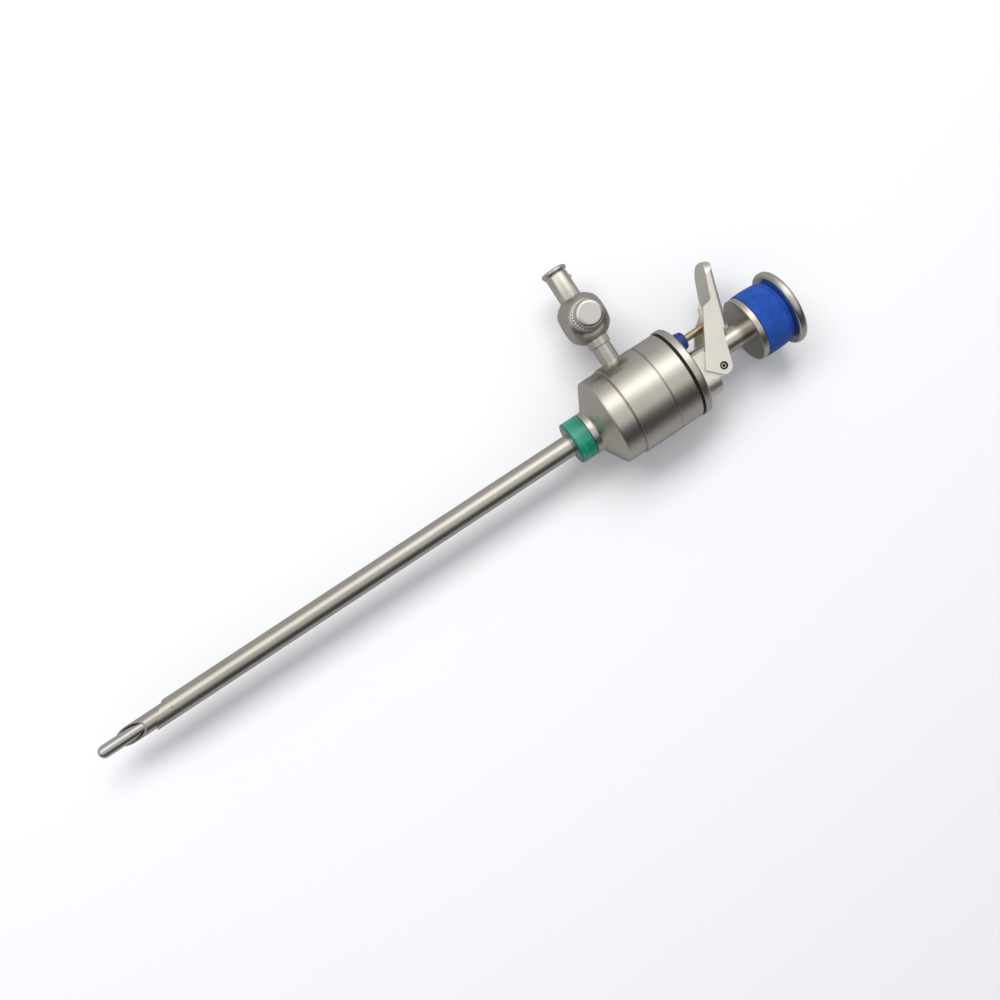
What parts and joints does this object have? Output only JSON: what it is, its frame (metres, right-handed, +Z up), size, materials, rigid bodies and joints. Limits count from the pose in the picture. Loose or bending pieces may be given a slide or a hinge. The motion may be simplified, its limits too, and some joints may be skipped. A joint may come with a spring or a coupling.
{
  "type": "laparoscopic trocar",
  "caption": "slender steel cannula with a flap valve housing, thumb lever, gas tap and a hollow obturator with a blunt spring stylet",
  "frame": {"origin": "on the instrument's axis, at the front face of the coloured size ring, where the bare shaft begins", "axes": "+X along the axis from the tip to the obturator's head, +Y from the axis towards the gas tap and the lever's paddle, +Z up along the tap's key, which is the side the picture shows"},
  "size_m": [0.2392, 0.0605, 0.0288],
  "materials": {
    "satin_steel": "fine satin, turned",
    "bright_steel": "finer satin, almost polished",
    "lever_steel": "fine satin, milled and ground",
    "spring_steel": "drawn wire and thin sheet",
    "brass_rod": "drawn, slightly tarnished",
    "blue_silicone": "moulded silicone, soft sheen",
    "dark_blue_silicone": "moulded silicone, matt",
    "green_polymer": "turned polymer, slightly translucent",
    "black_seal": "moulded seal ring"
  },
  "bodies": {
    "trocar_body": {"cannula_tube": "satin_steel", "size_ring": "green_polymer", "valve_housing": "satin_steel", "housing_o_ring": "black_seal", "cap_plate": "satin_steel", "neck_tube": "satin_steel", "neck_flange": "satin_steel", "seal_cap": "blue_silicone", "hinge_bracket": "satin_steel", "lever_pin": "bright_steel", "rod_spring": "spring_steel", "rod_bushing": "dark_blue_silicone", "seat_plate": "satin_steel", "seat_seal": "blue_silicone", "flap_pin": "bright_steel", "flap_spring": "spring_steel", "gas_pipe": "satin_steel", "tap_collar": "satin_steel", "tap_body": "satin_steel", "luer_port": "satin_steel"},
    "lever": {"lever": "lever_steel"},
    "push_rod": {"push_rod": "brass_rod", "rod_clip": "spring_steel"},
    "flap": {"flap": "satin_steel"},
    "tap_key": {"tap_key": "bright_steel", "tap_knob": "bright_steel", "tap_washer": "spring_steel", "tap_nut": "bright_steel"},
    "obturator": {"obturator_tube": "satin_steel", "obturator_head": "satin_steel", "head_plug": "satin_steel", "stylet_spring": "spring_steel"},
    "stylet": {"stylet": "bright_steel", "stylet_collar": "bright_steel"}
  },
  "joints": [
    {"name": "obturator_slide", "type": "slide", "parent": "trocar_body", "child": "obturator", "axis": [1, 0, 0], "range_m": [0, 0.245]},
    {"name": "stylet_slide", "type": "slide", "parent": "obturator", "child": "stylet", "axis": [1, 0, 0], "range_m": [0, 0.01], "stiffness_N_per_m": 200, "springref_m": -0.012, "deforming": ["stylet_spring"]},
    {"name": "lever_hinge", "type": "hinge", "parent": "trocar_body", "child": "lever", "pos_m": [0.05, -0.0051, 0], "axis": [0, 0, 1], "range_deg": [0, 16], "stiffness_Nm_per_rad": 0.05, "springref_deg": -17.19},
    {"name": "push_rod_slide", "type": "slide", "parent": "trocar_body", "child": "push_rod", "axis": [-1, 0, 0], "range_m": [0, 0.0038], "deforming": ["rod_spring"]},
    {"name": "flap_hinge", "type": "hinge", "parent": "trocar_body", "child": "flap", "pos_m": [0.0286, 0.01075, 0], "axis": [0, 0, -1], "range_deg": [0, 10], "stiffness_Nm_per_rad": 0.0005, "springref_deg": -64.52, "deforming": ["flap_spring"]},
    {"name": "tap_turn", "type": "hinge", "parent": "trocar_body", "child": "tap_key", "pos_m": [0.0236, 0.02907, 0], "axis": [0, 0, 1], "continuous": true}
  ],
  "couplings": [
    {"joint": "push_rod_slide", "follows": "lever_hinge", "m_per_rad": 0.0136}
  ]
}
